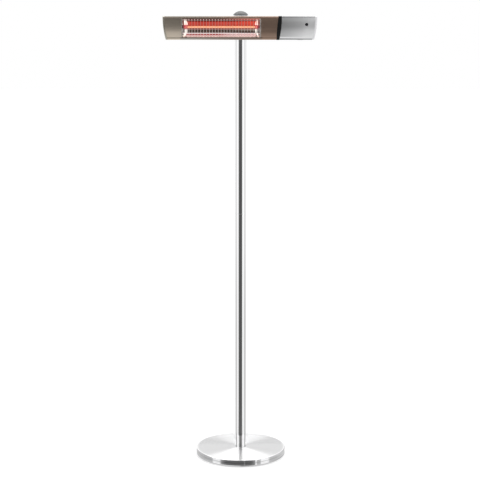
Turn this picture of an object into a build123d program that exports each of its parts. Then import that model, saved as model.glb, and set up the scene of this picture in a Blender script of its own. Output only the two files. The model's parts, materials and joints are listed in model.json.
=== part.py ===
"""Free-standing infrared patio heater: a weighted round base, a two-part tubular pole, a hub with a
tilting clevis on top, and a long horizontal heater head with one quartz lamp behind a wire guard.

Frame: millimetres, +Z up, the heater radiates towards -Y, +X is to the viewer's right.
The origin is on the floor, on the pole's axis.
"""
from build123d import *
import math
import os

os.makedirs("parts", exist_ok=True)

# ------------------------------------------------------------------ driving dimensions (mm)
TOTAL_H = 1976.2          # floor to the top of the dome cap
BASE_R = 200.0            # outer radius of the base cover
BASE_RIM_BOTTOM = 1.5     # the cover's lip stands this far above the floor
BASE_RIM_TOP = 33.5       # height of the cover at its rim
BASE_CENTRE_TOP = 35.0    # the cover rises a little to the pole
BASE_EDGE_TOP, BASE_EDGE_BOTTOM = 2.5, 8.0     # radii of the cover's two edges
COVER_T = 1.2
WEIGHT_R, WEIGHT_Z0, WEIGHT_Z1 = 193.5, 5.0, 22.5
POLE_R, POLE_WALL = 25.0, 1.5
POLE_BOTTOM, POLE_JOINT, POLE_TOP = 28.5, 1099.0, 1945.5
HUB_R, HUB_Z0, HUB_Z1 = 31.0, 1861.5, 1957.1
PIVOT_Y, PIVOT_Z = -54.0, 1906.5
PIVOT_R = 4.0             # M8 tilt bolt
HEAD_TOP, HEAD_BOTTOM = 1954.0, 1856.6
HEAD_BACK = -82.0
FRONT_R, FRONT_CY, FRONT_CZ = 132.0, -36.0, 1923.5   # the convex front is one arc about this line
HEAD_LEFT, HEAD_RIGHT = -326.6, 320.0      # the head along its top edge: it hangs 3 mm off the pole's axis
END_ARC_R = 400.0         # outline of both ends, seen from the front
BAND_L, BAND_L_R = 150.6, 600.0     # dark band: left edge and its arc
BAND_R, BAND_R_R = 171.8, 460.0     # dark band: right edge and its arc
SHELL_T = 1.0             # folded stainless sheet
COVER_WALL = 2.5          # moulded control housing
WIN_X, WIN_HALF = -81.7, 166.3      # lamp window: centre and half length
WIN_Z0, WIN_Z1 = 1865.5, 1945.5
WIRE_R, WIRE_PITCH, WIRE_N = 1.1, 12.24, 27
LAMP_Y, LAMP_Z, LAMP_R = -132.0, 1910.3, 5.5
LAMP_HALF = 160.0
SWITCH_X, SWITCH_Y = 250.0, -118.0
IR_X, IR_Z = 275.0, 1920.1
GLAND_X, GLAND_Z, GLAND_BORE_R = 204.0, 1892.5, 4.0
BACK_Z0, BACK_Z1 = 1878.5, 1934.0    # openings in the back of both housings
SCREW_Z = (1875.25, 1937.25)
LEAD_R = 1.5


# ------------------------------------------------------------------ helpers
def save(name, *shapes):
    solids = [s for shape in shapes for s in shape.solids()]
    export_step(solids[0] if len(solids) == 1 else Compound(solids), f"parts/{name}.step")


def cyl(r, p, d, h):
    return Solid.make_cylinder(r, h, Plane(origin=p, z_dir=d))


def box(x0, x1, y0, y1, z0, z1):
    return Solid.make_box(x1 - x0, y1 - y0, z1 - z0, Plane(origin=(x0, y0, z0)))


def turned(points):
    """A closed outline of (radius, height) revolved about the pole's axis."""
    return revolve(Plane.XZ * make_face(Polyline(*points, close=True)), Axis.Z)


def ring(r0, r1, z0, z1):
    return turned([(r0, z0), (r1, z0), (r1, z1), (r0, z1)])


def hexagon(af, p, d, h, turn=0.0):
    plane = Plane(origin=p, z_dir=d)
    return extrude(plane * (Rot(0, 0, turn) * RegularPolygon(af / 2, 6, major_radius=False)), h)


def tried(shape, edges, r):
    """Rounds the edges where the kernel can do it, and leaves them sharp where it can't."""
    for size in (r, r * 0.6, r * 0.3):
        try:
            out = fillet(edges, size)
            if out.is_valid and abs(out.volume - shape.volume) < 0.2 * shape.volume:
                return out
        except Exception:
            pass
    print("left sharp", len(edges))
    return shape


def front_y(z, inset=0.0):
    """Where the head's convex front is at height z."""
    r = FRONT_R - inset
    return FRONT_CY - math.sqrt(r * r - (z - FRONT_CZ) ** 2)


# the head's section, seen along X: flat back, top and bottom, one convex arc in front
def profile_face():
    yt, yb = front_y(HEAD_TOP), front_y(HEAD_BOTTOM)
    edges = [
        Line((HEAD_BACK, HEAD_BOTTOM), (HEAD_BACK, HEAD_TOP)),
        Line((HEAD_BACK, HEAD_TOP), (yt, HEAD_TOP)),
        ThreePointArc((yt, HEAD_TOP), (FRONT_CY - FRONT_R, FRONT_CZ), (yb, HEAD_BOTTOM)),
        Line((yb, HEAD_BOTTOM), (HEAD_BACK, HEAD_BOTTOM)),
    ]
    face = make_face(Curve() + edges)
    vs = face.vertices()
    back = [v for v in vs if abs(v.X - HEAD_BACK) < 0.1]
    face = fillet(back, 12.0)
    vs = face.vertices()
    top = min(vs, key=lambda v: (v.X - yt) ** 2 + (v.Y - HEAD_TOP) ** 2)
    face = fillet([top], 6.0)
    vs = face.vertices()
    bottom = min(vs, key=lambda v: (v.X - yb) ** 2 + (v.Y - HEAD_BOTTOM) ** 2)
    return fillet([bottom], 6.0)


PROFILE = profile_face()
X_FAR = 380.0


def full(off):
    """The head's section grown by off and run along X."""
    face = PROFILE if off == 0 else offset(PROFILE, amount=off)
    return extrude(Plane.YZ.offset(-X_FAR) * face, 2 * X_FAR)


FULL = {}


def sec(off):
    if off not in FULL:
        FULL[off] = full(off)
    return FULL[off]


def right_end(dx=0.0):
    return lambda z: HEAD_RIGHT + dx - END_ARC_R + math.sqrt(END_ARC_R**2 - (z - HEAD_TOP) ** 2)


def left_end(dx=0.0):
    return lambda z: HEAD_LEFT + dx + END_ARC_R - math.sqrt(END_ARC_R**2 - (z - HEAD_TOP) ** 2)


def band_right(dx=0.0):
    return lambda z: BAND_R + dx - BAND_R_R + math.sqrt(BAND_R_R**2 - (z - HEAD_TOP) ** 2)


def band_left(dx=0.0):
    return lambda z: BAND_L + dx + BAND_L_R - math.sqrt(BAND_L_R**2 - (z - HEAD_BOTTOM) ** 2)


def straight(x):
    return lambda z: x


Z_LO, Z_HI = HEAD_BOTTOM - 14, HEAD_TOP + 14


def between(fl, fr):
    """Everything between two outlines that are drawn in the front view."""
    def edge(f, a, b):
        pa, pm, pb = (f(a), a), (f((a + b) / 2), (a + b) / 2), (f(b), b)
        if abs(pa[0] - pm[0]) < 1e-9 and abs(pb[0] - pm[0]) < 1e-9:
            return Line(pa, pb)
        return ThreePointArc(pa, pm, pb)

    edges = [
        edge(fl, Z_LO, Z_HI),
        Line((fl(Z_HI), Z_HI), (fr(Z_HI), Z_HI)),
        edge(fr, Z_HI, Z_LO),
        Line((fr(Z_LO), Z_LO), (fl(Z_LO), Z_LO)),
    ]
    return extrude(Plane.XZ * make_face(Curve() + edges), 260)


# ------------------------------------------------------------------ base
def cover_outline():
    """Half section of the spun cover: a shallow cone, a tight top edge, a wide bottom edge and its lip."""
    r, t, zt, zb, ct = BASE_R, COVER_T, BASE_RIM_TOP, BASE_RIM_BOTTOM, BASE_CENTRE_TOP
    rt, rb, c = BASE_EDGE_TOP, BASE_EDGE_BOTTOM, math.sqrt(0.5)

    def top_arc(k):
        return (r - rt, zt - rt + k), (r - rt + k * c, zt - rt + k * c), (r - rt + k, zt - rt)

    def bottom_arc(k):
        return (r - rb + k, zb + rb), (r - rb + k * c, zb + rb - k * c), (r - rb, zb + rb - k)

    ta, tm, tz = top_arc(rt)
    ba, bm, bz = bottom_arc(rb)
    ta2, tm2, tz2 = top_arc(rt - t)
    ba2, bm2, bz2 = bottom_arc(rb - t)
    lip = (r - rb - 1.5, zb)
    edges = [
        Line((25.4, ct), ta), ThreePointArc(ta, tm, tz), Line(tz, ba), ThreePointArc(ba, bm, bz),
        Line(bz, lip), Line(lip, (lip[0], zb + t)), Line((lip[0], zb + t), bz2),
        ThreePointArc(bz2, bm2, ba2), Line(ba2, tz2), ThreePointArc(tz2, tm2, ta2),
        Line(ta2, (25.4, ct - t)), Line((25.4, ct - t), (25.4, ct)),
    ]
    return make_face(Curve() + edges)


save("base_cover", revolve(Plane.XZ * cover_outline(), Axis.Z))

bolt_xy = [(38 * math.cos(math.radians(a)), 38 * math.sin(math.radians(a))) for a in (45, 135, 225, 315)]
weight = cyl(WEIGHT_R, (0, 0, WEIGHT_Z0), (0, 0, 1), WEIGHT_Z1 - WEIGHT_Z0)
weight -= ring(177.9, 188.1, WEIGHT_Z0 - 1, WEIGHT_Z0 + 2.0)
for x, y in bolt_xy:
    weight -= cyl(4.5, (x, y, 0), (0, 0, 1), 30)
    weight -= cyl(9.5, (x, y, 0), (0, 0, 1), WEIGHT_Z0 + 8.0)
weight = tried(weight, weight.edges().filter_by(GeomType.CIRCLE).filter_by(lambda e: abs(e.radius - WEIGHT_R) < 0.01), 1.5)
save("base_weight", weight)

foot = turned([(178, 1.0), (179, 0), (187, 0), (188, 1.0), (188, WEIGHT_Z0 + 2.0), (178, WEIGHT_Z0 + 2.0)])
save("base_foot_ring", foot)
save("base_foam_ring", ring(150, 190, WEIGHT_Z1, BASE_RIM_TOP - COVER_T - 0.05))

socket = cyl(55, (0, 0, WEIGHT_Z1), (0, 0, 1), 6.0) + turned(
    [(0, WEIGHT_Z1 + 5.9), (23.4, WEIGHT_Z1 + 5.9), (23.4, 120.0), (21.9, 121.5), (0, 121.5)])
for x, y in bolt_xy:
    socket -= cyl(4.05, (x, y, WEIGHT_Z1 - 1), (0, 0, 1), 8)
save("base_socket", socket)

bolts, washers = [], []
for x, y in bolt_xy:
    head = cyl(6.5, (x, y, WEIGHT_Z0 + 0.9), (0, 0, 1), 5.5) - hexagon(6.0, (x, y, WEIGHT_Z0 + 0.8), (0, 0, 1), 3.2)
    bolts.append(head + cyl(4.0, (x, y, WEIGHT_Z0 + 6.3), (0, 0, 1), 16.7))
    washers.append(cyl(8.5, (x, y, WEIGHT_Z0 + 6.4), (0, 0, 1), 1.6) - cyl(4.3, (x, y, WEIGHT_Z0 + 6), (0, 0, 1), 3))
save("base_bolts", *bolts)
save("base_washers", *washers)
CT = BASE_CENTRE_TOP
save("base_collar", turned([(25.15, CT + 0.02), (28.6, CT + 0.02), (28.6, CT + 1.9), (27.6, CT + 2.9), (25.15, CT + 2.9)]))

# ------------------------------------------------------------------ pole
bore = POLE_R - POLE_WALL
ch = 0.4
save("pole_lower", turned([(bore, POLE_BOTTOM), (POLE_R, POLE_BOTTOM), (POLE_R, POLE_JOINT - 0.3 - ch),
                           (POLE_R - ch, POLE_JOINT - 0.3), (bore, POLE_JOINT - 0.3)]))
save("pole_upper", turned([(bore, POLE_JOINT + 0.3), (POLE_R - ch, POLE_JOINT + 0.3), (POLE_R, POLE_JOINT + 0.3 + ch),
                           (POLE_R, POLE_TOP), (bore, POLE_TOP)]))
save("pole_joiner", turned([(19, POLE_JOINT - 60), (bore - 0.05, POLE_JOINT - 60), (bore - 0.05, POLE_JOINT - 0.28),
                            (POLE_R - 0.7, POLE_JOINT - 0.28), (POLE_R - 0.7, POLE_JOINT + 0.28),
                            (bore - 0.05, POLE_JOINT + 0.28), (bore - 0.05, POLE_JOINT + 60), (19, POLE_JOINT + 60)]))

# ------------------------------------------------------------------ hub with the clevis
hub = turned([(0, HUB_Z0), (HUB_R - 1.5, HUB_Z0), (HUB_R, HUB_Z0 + 1.5), (HUB_R, HUB_Z1 - 1.2), (HUB_R - 1.2, HUB_Z1),
              (0, HUB_Z1)])
EAR_IN, EAR_OUT, EAR_R = 14.0, 22.0, 18.0
for s in (-1, 1):
    x0, x1 = sorted((s * EAR_IN, s * EAR_OUT))
    side = make_face(Polyline((-12, PIVOT_Z - 26), (PIVOT_Y, PIVOT_Z - EAR_R), (PIVOT_Y, PIVOT_Z + EAR_R),
                              (-12, PIVOT_Z + 26), close=True))
    ear = extrude(Plane.YZ.offset(x0) * side, x1 - x0) + cyl(EAR_R, (x0, PIVOT_Y, PIVOT_Z), (1, 0, 0), x1 - x0)
    hub += ear
hub -= cyl(POLE_R + 0.1, (0, 0, HUB_Z0 - 1), (0, 0, 1), POLE_TOP + 1 - HUB_Z0 + 0.05)
hub -= cyl(25.1, (0, 0, HUB_Z1 - 8), (0, 0, 1), 20)
hub -= cyl(PIVOT_R + 0.1, (-60, PIVOT_Y, PIVOT_Z), (1, 0, 0), 120)
GRUB_Z = (1884.5, 1924.5)
for z in GRUB_Z:
    hub -= cyl(3.05, (0, 20, z), (0, 1, 0), 20)
save("pole_hub", hub)
grubs = [cyl(3.0, (0, 25.02, z), (0, 1, 0), 5.4) - hexagon(3.0, (0, 27.8, z), (0, 1, 0), 4) for z in GRUB_Z]
save("hub_grub_screws", *grubs)

CAP_R, CAP_RISE = 31.3, 14.6
dome_r = (CAP_R**2 + CAP_RISE**2) / (2 * CAP_RISE)
ZS = HUB_Z1 - 7.5
pts = [(0, ZS), (24.9, ZS), (24.9, HUB_Z1 + 0.05), (29.4, HUB_Z1 + 0.05), (29.4, HUB_Z1 + 1.8), (31.5, HUB_Z1 + 1.8), (32.0, HUB_Z1 + 2.3)]
arc_z0 = TOTAL_H - dome_r
a0 = math.asin(CAP_R / dome_r)
dome_wire = Curve() + [
    Polyline(*pts, (32.0, TOTAL_H - CAP_RISE - 0.6), (CAP_R, TOTAL_H - CAP_RISE)),
    ThreePointArc((CAP_R, TOTAL_H - CAP_RISE), (dome_r * math.sin(a0 / 2), arc_z0 + dome_r * math.cos(a0 / 2)), (0, TOTAL_H)),
    Line((0, TOTAL_H), (0, ZS)),
]
save("hub_dome_cap", revolve(Plane.XZ * make_face(dome_wire), Axis.Z))

tilt_bolt = hexagon(13.0, (-27.4, PIVOT_Y, PIVOT_Z), (1, 0, 0), 5.4) + cyl(PIVOT_R, (-22.1, PIVOT_Y, PIVOT_Z), (1, 0, 0), 60.1)
save("tilt_bolt", tilt_bolt)
fw = []
for s in (-1, 1):
    x0 = 12.75 if s > 0 else -13.95
    fw.append(cyl(13.5, (x0, PIVOT_Y, PIVOT_Z), (1, 0, 0), 1.2) - cyl(PIVOT_R + 0.2, (x0 - 1, PIVOT_Y, PIVOT_Z), (1, 0, 0), 4))
save("friction_washers", *fw)
save("knob_washer", cyl(9.0, (22.05, PIVOT_Y, PIVOT_Z), (1, 0, 0), 1.6) - cyl(PIVOT_R + 0.2, (21, PIVOT_Y, PIVOT_Z), (1, 0, 0), 4))

# clamping knob
K0, K1 = 24.0, 42.0
grip = cyl(19.5, (K0, PIVOT_Y, PIVOT_Z), (1, 0, 0), K1 - K0)
for i in range(6):
    a = math.radians(60 * i)
    grip -= cyl(6.5, (K0 - 1, PIVOT_Y + 22.5 * math.cos(a), PIVOT_Z + 22.5 * math.sin(a)), (1, 0, 0), 40)
grip = tried(grip, grip.edges().filter_by(lambda e: abs(e.center().X - K1) < 0.01), 2.0)
grip -= cyl(7.0, (K0 - 1, PIVOT_Y, PIVOT_Z), (1, 0, 0), 16.5)
save("tilt_knob_grip", grip)
save("tilt_knob_insert", cyl(6.95, (K0 + 0.05, PIVOT_Y, PIVOT_Z), (1, 0, 0), 15.3) - cyl(PIVOT_R + 0.05, (K0 - 1, PIVOT_Y, PIVOT_Z), (1, 0, 0), 20))

# ------------------------------------------------------------------ head bracket (turns on the tilt bolt)
KN = 12.6
bracket = box(-40, 40, -83.0, -80.0, 1881.5, 1931.5)
bracket = tried(bracket, bracket.edges().filter_by(Axis.Y), 6.0)
arm = make_face(Polyline((-80.2, PIVOT_Z - 22), (PIVOT_Y, PIVOT_Z - 14), (PIVOT_Y, PIVOT_Z + 14), (-80.2, PIVOT_Z + 22), close=True))
bracket += extrude(Plane.YZ.offset(-KN) * arm, 2 * KN) + cyl(14.0, (-KN, PIVOT_Y, PIVOT_Z), (1, 0, 0), 2 * KN)
bracket -= cyl(PIVOT_R + 0.05, (-60, PIVOT_Y, PIVOT_Z), (1, 0, 0), 120)
BB = [(x, z) for x in (-30, 30) for z in (1888.5, 1924.5)]
for x, z in BB:
    bracket -= cyl(2.75, (x, -90, z), (0, 1, 0), 20)
save("head_bracket", bracket)
save("bracket_bolts", *[(cyl(4.6, (x, -80.0, z), (0, 1, 0), 2.8) - hexagon(3.0, (x, -78.8, z), (0, 1, 0), 4)) +
                        cyl(2.5, (x, -89.6, z), (0, 1, 0), 9.7) for x, z in BB])
save("bracket_nuts", *[hexagon(8.0, (x, -88.4, z), (0, 1, 0), 4.1) - cyl(2.55, (x, -95, z), (0, 1, 0), 12) for x, z in BB])

# ------------------------------------------------------------------ lamp housing: folded front shell and back plate
END_SCREW_X, END_SCREW_Y = (-301.5, 294.5), (-104.0, -138.0)


def countersunk(x, y, r, clearance=0.0):
    """A countersunk screw, or its hole, going up into the underside."""
    c = Solid.make_cone(r * 2 + clearance, r + clearance, r, Plane(origin=(x, y, HEAD_BOTTOM), z_dir=(0, 0, 1)))
    if clearance:
        c += cyl(r * 2 + clearance, (x, y, HEAD_BOTTOM - 3), (0, 0, 1), 3.0)
    return c + cyl(r + clearance, (x, y, HEAD_BOTTOM + r - 0.1), (0, 0, 1), 7.0)


def window(dx, dz, y0=-210.0, y1=-140.0, r=5.0):
    """The lamp window shrunk by dx and dz on each side, as a block through the front."""
    w, h = 2 * (WIN_HALF - dx), (WIN_Z1 - WIN_Z0) - 2 * dz
    zc = (WIN_Z0 + WIN_Z1) / 2
    sk = Plane.XZ.offset(-y1) * (Pos(WIN_X, zc) * RectangleRounded(w, h, r))
    return extrude(sk, y1 - y0)


shell = (sec(0) - sec(-SHELL_T)) & between(left_end(8.0), band_left(-0.3))
shell -= window(0, 0)
shell -= box(-295, 134, HEAD_BACK - 6, HEAD_BACK + 5, BACK_Z0, BACK_Z1)
BS = [(x, z) for x in (-288, -176, -64, 124) for z in SCREW_Z]
for x, z in BS:
    shell -= cyl(2.2, (x, -90, z), (0, 1, 0), 20)
for y in END_SCREW_Y:
    shell -= countersunk(END_SCREW_X[0], y, 1.5, 0.06)
save("front_shell", shell)

HB = [(WIN_X + s * 176, LAMP_Z) for s in (-1, 1)]
plate = box(-299.5, 139, -84.2, -83.0, 1872.25, 1940.25)
for x, z in BS:
    plate -= cyl(2.2, (x, -90, z), (0, 1, 0), 20)
for x, z in BB:
    plate -= cyl(2.75, (x, -90, z), (0, 1, 0), 20)
for x, z in HB:
    plate -= cyl(2.2, (x, -90, z), (0, 1, 0), 20)
for k in range(-2, 3):      # a short row of cooling slots at each end of the plate
    for x in (-230, 60):
        slot = box(x - 1.5 + 9 * k, x + 1.5 + 9 * k, -90, -80, 1888.5, 1924.5)
        plate -= tried(slot, slot.edges().filter_by(Axis.Y), 1.45)
save("back_plate", plate)


def pan_screw(x, z, y_face, r, head_r, head_h, length):
    """A pan-head screw driven towards -Y, with its head on the face at y_face."""
    head = cyl(head_r, (x, y_face, z), (0, 1, 0), head_h)
    head = tried(head, head.edges().filter_by(lambda e: e.center().Y > y_face + head_h - 0.01), head_h * 0.45)
    head -= box(x - head_r * 0.55, x + head_r * 0.55, y_face + head_h - 1.0, y_face + head_h + 1, z - 0.4, z + 0.4)
    head -= box(x - 0.4, x + 0.4, y_face + head_h - 1.0, y_face + head_h + 1, z - head_r * 0.55, z + head_r * 0.55)
    return head + cyl(r, (x, y_face - length, z), (0, 1, 0), length + 0.05)


save("back_plate_screws", *[pan_screw(x, z, -82.0, 2.0, 4.0, 2.4, 6.0) for x, z in BS],
     *[pan_screw(x, z, -83.0, 2.0, 4.0, 2.4, 5.0) for x, z in HB])

# left end cap, with a spigot inside the shell
cap = sec(0) & between(left_end(), left_end(7.7))
cap = tried(cap, cap.faces().sort_by(Axis.X)[0].edges(), 2.2)
cap -= sec(-3.2) & between(left_end(3.0), left_end(9.0))
cap += (sec(-SHELL_T - 0.1) - sec(-3.2)) & between(left_end(7.6), left_end(16.0))
for y in END_SCREW_Y:
    cap -= countersunk(END_SCREW_X[0], y, 1.5, 0.06)
save("left_end_cap", cap)

# dark trim band between the metal shell and the moulded control housing
band = (sec(1.0) - sec(-4.4)) & between(band_left(), band_right())
sp_l = (sec(-SHELL_T - 0.1) - sec(-4.4)) & between(band_left(-9.0), band_left(0.2))
sp_r = (sec(-COVER_WALL - 0.1) - sec(-4.4)) & between(band_right(-0.2), band_right(9.0))
band = (sp_l + sp_r) + band
save("trim_band", band)

# steel bulkhead that closes the hot side
GR = [(-110.0, 1932.5), (-104.0, 1882.5)]
BULK_X = 158.3
bulk = sec(-4.6) & box(BULK_X, BULK_X + 1.5, -200, -60, 1845.5, 2000)
for y, z in GR:
    bulk -= cyl(4.1, (BULK_X - 5, y, z), (1, 0, 0), 20)
save("bulkhead", bulk)
save("bulkhead_grommets", *[
    (cyl(6.0, (BULK_X - 1.6, y, z), (1, 0, 0), 1.55) + cyl(4.0, (BULK_X - 1.6, y, z), (1, 0, 0), 4.7)
     + cyl(6.0, (BULK_X + 1.55, y, z), (1, 0, 0), 1.55))
    - cyl(LEAD_R + 0.15, (BULK_X - 5, y, z), (1, 0, 0), 20) for y, z in GR])

# ------------------------------------------------------------------ lamp window: frame, guard wires and rods
frame_ring = ((window(0.15, 0.15) - window(4.0, 4.0, r=3.0)) & sec(0.8)) - cyl(FRONT_R - 9.0, (WIN_X - 250, FRONT_CY, FRONT_CZ), (1, 0, 0), 500)
save("window_frame", frame_ring)

WIRE_RAD = FRONT_R - 5.2


def torus_wire(x, rad, z0, z1, r):
    """A guard wire: a length of the circle of radius rad about the front's centre line, between two heights."""
    a0 = math.degrees(math.asin((z0 - FRONT_CZ) / rad))
    a1 = math.degrees(math.asin((z1 - FRONT_CZ) / rad))
    # start the section at angle a0 below the horizontal, then turn it about the X line through the centre
    cy, cz = FRONT_CY - rad * math.cos(math.radians(a0)), FRONT_CZ + rad * math.sin(math.radians(a0))
    t = (0, -math.sin(math.radians(a0)) * -1.0, math.cos(math.radians(a0)))
    pl = Plane(origin=(x, cy, cz), x_dir=(1, 0, 0), z_dir=t)
    return revolve(pl * Circle(r), Axis((x, FRONT_CY, FRONT_CZ), (-1, 0, 0)), a1 - a0)


wires = []
for i in range(WIRE_N):
    x = WIN_X + WIRE_PITCH * (i - (WIRE_N - 1) / 2)
    wires.append(torus_wire(x, WIRE_RAD, WIN_Z0 + 4.8, WIN_Z1 - 4.4, WIRE_R))
save("guard_wires", *wires)


def rod(z, rad, r):
    y = FRONT_CY - math.sqrt(rad**2 - (z - FRONT_CZ) ** 2)
    return cyl(r, (WIN_X - WIN_HALF + 4.1, y, z), (1, 0, 0), 2 * (WIN_HALF - 4.1))


ROD_R = 1.25
BEHIND = WIRE_RAD - WIRE_R - ROD_R - 0.02
save("guard_rods", rod(1938.0, BEHIND, ROD_R), rod(1883.9, BEHIND, ROD_R), rod(1873.5, BEHIND, ROD_R))

# ------------------------------------------------------------------ reflector
REF = [(-152.0, 1941.5), (-118.0, 1938.5), (-104.0, 1929.0), (-98.5, 1919.0), (-98.5, 1913.3), (-105.0, 1910.3),
       (-98.5, 1907.3), (-98.5, 1901.5), (-103.0, 1888.0), (-114.0, 1877.0), (-144.0, 1871.0)]
REF_T = 0.7


def mitred(points, t):
    """The points moved by t to the left of the way they run, with mitred corners."""
    out = []
    n = len(points)
    for i, p in enumerate(points):
        dirs = []
        for a, b in ((i - 1, i), (i, i + 1)):
            if a >= 0 and b < n:
                d = (points[b][0] - points[a][0], points[b][1] - points[a][1])
                k = math.hypot(*d)
                dirs.append((-d[1] / k, d[0] / k))
        if len(dirs) == 1:
            out.append((p[0] + t * dirs[0][0], p[1] + t * dirs[0][1]))
        else:
            m = (dirs[0][0] + dirs[1][0], dirs[0][1] + dirs[1][1])
            k = t * 2 / (m[0] ** 2 + m[1] ** 2)
            out.append((p[0] + m[0] * k, p[1] + m[1] * k))
    return out


ref_out = mitred(REF, REF_T)
trough = extrude(Plane.YZ.offset(WIN_X - 200) * make_face(Polyline(*REF, *reversed(ref_out), close=True)), 400)
block = extrude(Plane.YZ.offset(WIN_X - 200) * make_face(Polyline(*ref_out, close=True)), 400)
END_BACK, END_FRONT = 141.5, 158.0     # the end plates lean outwards to the window


def plan(points):
    return extrude(Plane.XY.offset(1855.5) * make_face(Polyline(*points, close=True)), 130)


def half_at(y):
    return END_BACK + (END_FRONT - END_BACK) * (-97.0 - y) / (152.0 - 97.0)


y_a, y_b = -90.0, -170.0
inside = plan([(WIN_X - half_at(y_a), y_a), (WIN_X + half_at(y_a), y_a), (WIN_X + half_at(y_b), y_b), (WIN_X - half_at(y_b), y_b)])
save("reflector", trough & inside)
for s, name in ((-1, "reflector_end_left"), (1, "reflector_end_right")):
    t = 0.7 * 1.06
    slab = plan([(WIN_X + s * (half_at(y_a) + 0.02), y_a), (WIN_X + s * (half_at(y_b) + 0.02), y_b),
                 (WIN_X + s * (half_at(y_b) + 0.02 + t), y_b), (WIN_X + s * (half_at(y_a) + 0.02 + t), y_a)])
    end = block & slab
    end -= cyl(LAMP_R + 1.2, (WIN_X - 250, LAMP_Y, LAMP_Z), (1, 0, 0), 500)
    save(name, end)

SP = [(WIN_X + sx * 110, z) for sx in (-1, 1) for z in (1904.4, 1916.2)]
back_ref = max(p[0] for p in ref_out)
save("reflector_spacers", *[cyl(2.6, (x, back_ref, z), (0, 1, 0), -84.2 - back_ref) for x, z in SP])
shield = box(WIN_X - 136, WIN_X + 136, -92.6, -92.0, 1868.5, 1943.5)
for x, z in SP:
    shield -= cyl(2.7, (x, -95, z), (0, 1, 0), 6)
save("heat_shield", shield)

# ------------------------------------------------------------------ lamp
tube = cyl(LAMP_R, (WIN_X - LAMP_HALF - 6, LAMP_Y, LAMP_Z), (1, 0, 0), 2 * LAMP_HALF + 12)
tube -= cyl(LAMP_R - 1.2, (WIN_X - LAMP_HALF + 4, LAMP_Y, LAMP_Z), (1, 0, 0), 2 * LAMP_HALF - 8)
save("lamp_tube", tube)
fil = cyl(1.5, (WIN_X - 140, LAMP_Y, LAMP_Z), (1, 0, 0), 280) + cyl(0.5, (WIN_X - LAMP_HALF + 4, LAMP_Y, LAMP_Z), (1, 0, 0), 2 * LAMP_HALF - 8)
for k in range(-5, 6):     # support discs that keep the filament on the tube's axis
    fil += cyl(4.15, (WIN_X + 24 * k - 0.25, LAMP_Y, LAMP_Z), (1, 0, 0), 0.5)
save("lamp_filament", fil)
caps, holders, hbr = [], [], []
for s in (-1, 1):
    d = (s, 0, 0)
    c = cyl(7.0, (WIN_X + s * (LAMP_HALF + 1), LAMP_Y, LAMP_Z), d, 19.0)
    c -= cyl(LAMP_R + 0.05, (WIN_X + s * (LAMP_HALF + 0.5), LAMP_Y, LAMP_Z), d, 5.6)
    caps.append(c)
    x0, x1 = sorted((WIN_X + s * 168.4, WIN_X + s * 190.0))
    h = box(x0, x1, LAMP_Y - 12.5, LAMP_Y + 12.5, LAMP_Z - 12.5, LAMP_Z + 12.5)
    h = tried(h, h.edges().filter_by(Axis.X), 2.0)
    h -= cyl(7.05, (WIN_X + s * 167.0, LAMP_Y, LAMP_Z), d, 13.1)
    h -= cyl(LEAD_R + 0.1, (WIN_X + s * 179.0, LAMP_Y, LAMP_Z), d, 20)
    holders.append(h)
    a0, a1 = sorted((WIN_X + s * 168.4, WIN_X + s * 189.0))
    w0, w1 = sorted((WIN_X + s * 168.4, WIN_X + s * 169.6))
    br = box(a0, a1, LAMP_Y + 12.5, LAMP_Y + 13.7, LAMP_Z - 11, LAMP_Z + 11)
    br += box(w0, w1, LAMP_Y + 12.5, -84.2, LAMP_Z - 11, LAMP_Z + 11)
    f0, f1 = sorted((WIN_X + s * 168.4, WIN_X + s * 184.0))
    br += box(f0, f1, -85.7, -84.2, LAMP_Z - 11, LAMP_Z + 11)
    br -= cyl(2.2, (WIN_X + s * 176, -90, LAMP_Z), (0, 1, 0), 10)
    hbr.append(br)
save("lamp_caps", *caps)
save("lamp_holders", *holders)
save("holder_brackets", *hbr)


def lead(points, radii):
    path = FilletPolyline(*points, radius=radii) if len(points) > 2 else Line(*points)
    start = path.edges().sort_by_distance(points[0])[0]
    d = Vector(*points[1]) - Vector(*points[0])
    prof = Plane(origin=points[0], z_dir=d) * Circle(LEAD_R)
    return sweep(prof, path=path)


gy, gz = GR[0]
right_lead = lead([(WIN_X + 183, LAMP_Y, LAMP_Z), (128, LAMP_Y, LAMP_Z), (140, gy, gz), (178, gy, gz), (202, -95, 1942.5), (202, -94, 1930.8)],
                  [9, 9, 10, 4.0])
save("lamp_lead_right", right_lead)
gy, gz = GR[1]
left_lead = lead([(WIN_X - 183, LAMP_Y, LAMP_Z), (-288, LAMP_Y, LAMP_Z), (-288, -88.3, 1881.5), (128, -88.3, 1881.5), (143, gy, gz), (176, gy, gz),
                  (188, -97, 1898.5), (196, -94, 1905.5), (196, -94, 1914.45)], [12, 12, 10, 8, 7, 6, 4])
save("lamp_lead_left", left_lead)

# ------------------------------------------------------------------ control housing
cc = (sec(0) - sec(-COVER_WALL)) & between(band_right(0.25), right_end(-9.25))
cc -= box(191, 293, HEAD_BACK - 6, HEAD_BACK + 5, BACK_Z0, BACK_Z1)
cc -= cyl(6.7, (IR_X, -200, IR_Z), (0, 1, 0), 60)
cc -= box(SWITCH_X - 9.7, SWITCH_X + 9.7, SWITCH_Y - 6.6, SWITCH_Y + 6.6, 1850.5, 1867.5)
SS = [(x, z) for x in (196, 288) for z in SCREW_Z]
for x, z in SS:
    cc -= cyl(1.7, (x, -90, z), (0, 1, 0), 20)
for y in END_SCREW_Y:
    cc -= countersunk(END_SCREW_X[1], y, 1.5, 0.06)
save("control_cover", cc)

service = box(186.5, 297.5, -86.5, -84.5, 1872.5, 1940.0)
service -= cyl(6.1, (GLAND_X, -100, GLAND_Z), (0, 1, 0), 40)
for x, z in SS:
    service -= cyl(1.7, (x, -90, z), (0, 1, 0), 20)
save("service_plate", service)
save("service_screws", *[pan_screw(x, z, -82.0, 1.5, 3.0, 1.9, 7.5) for x, z in SS])

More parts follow.
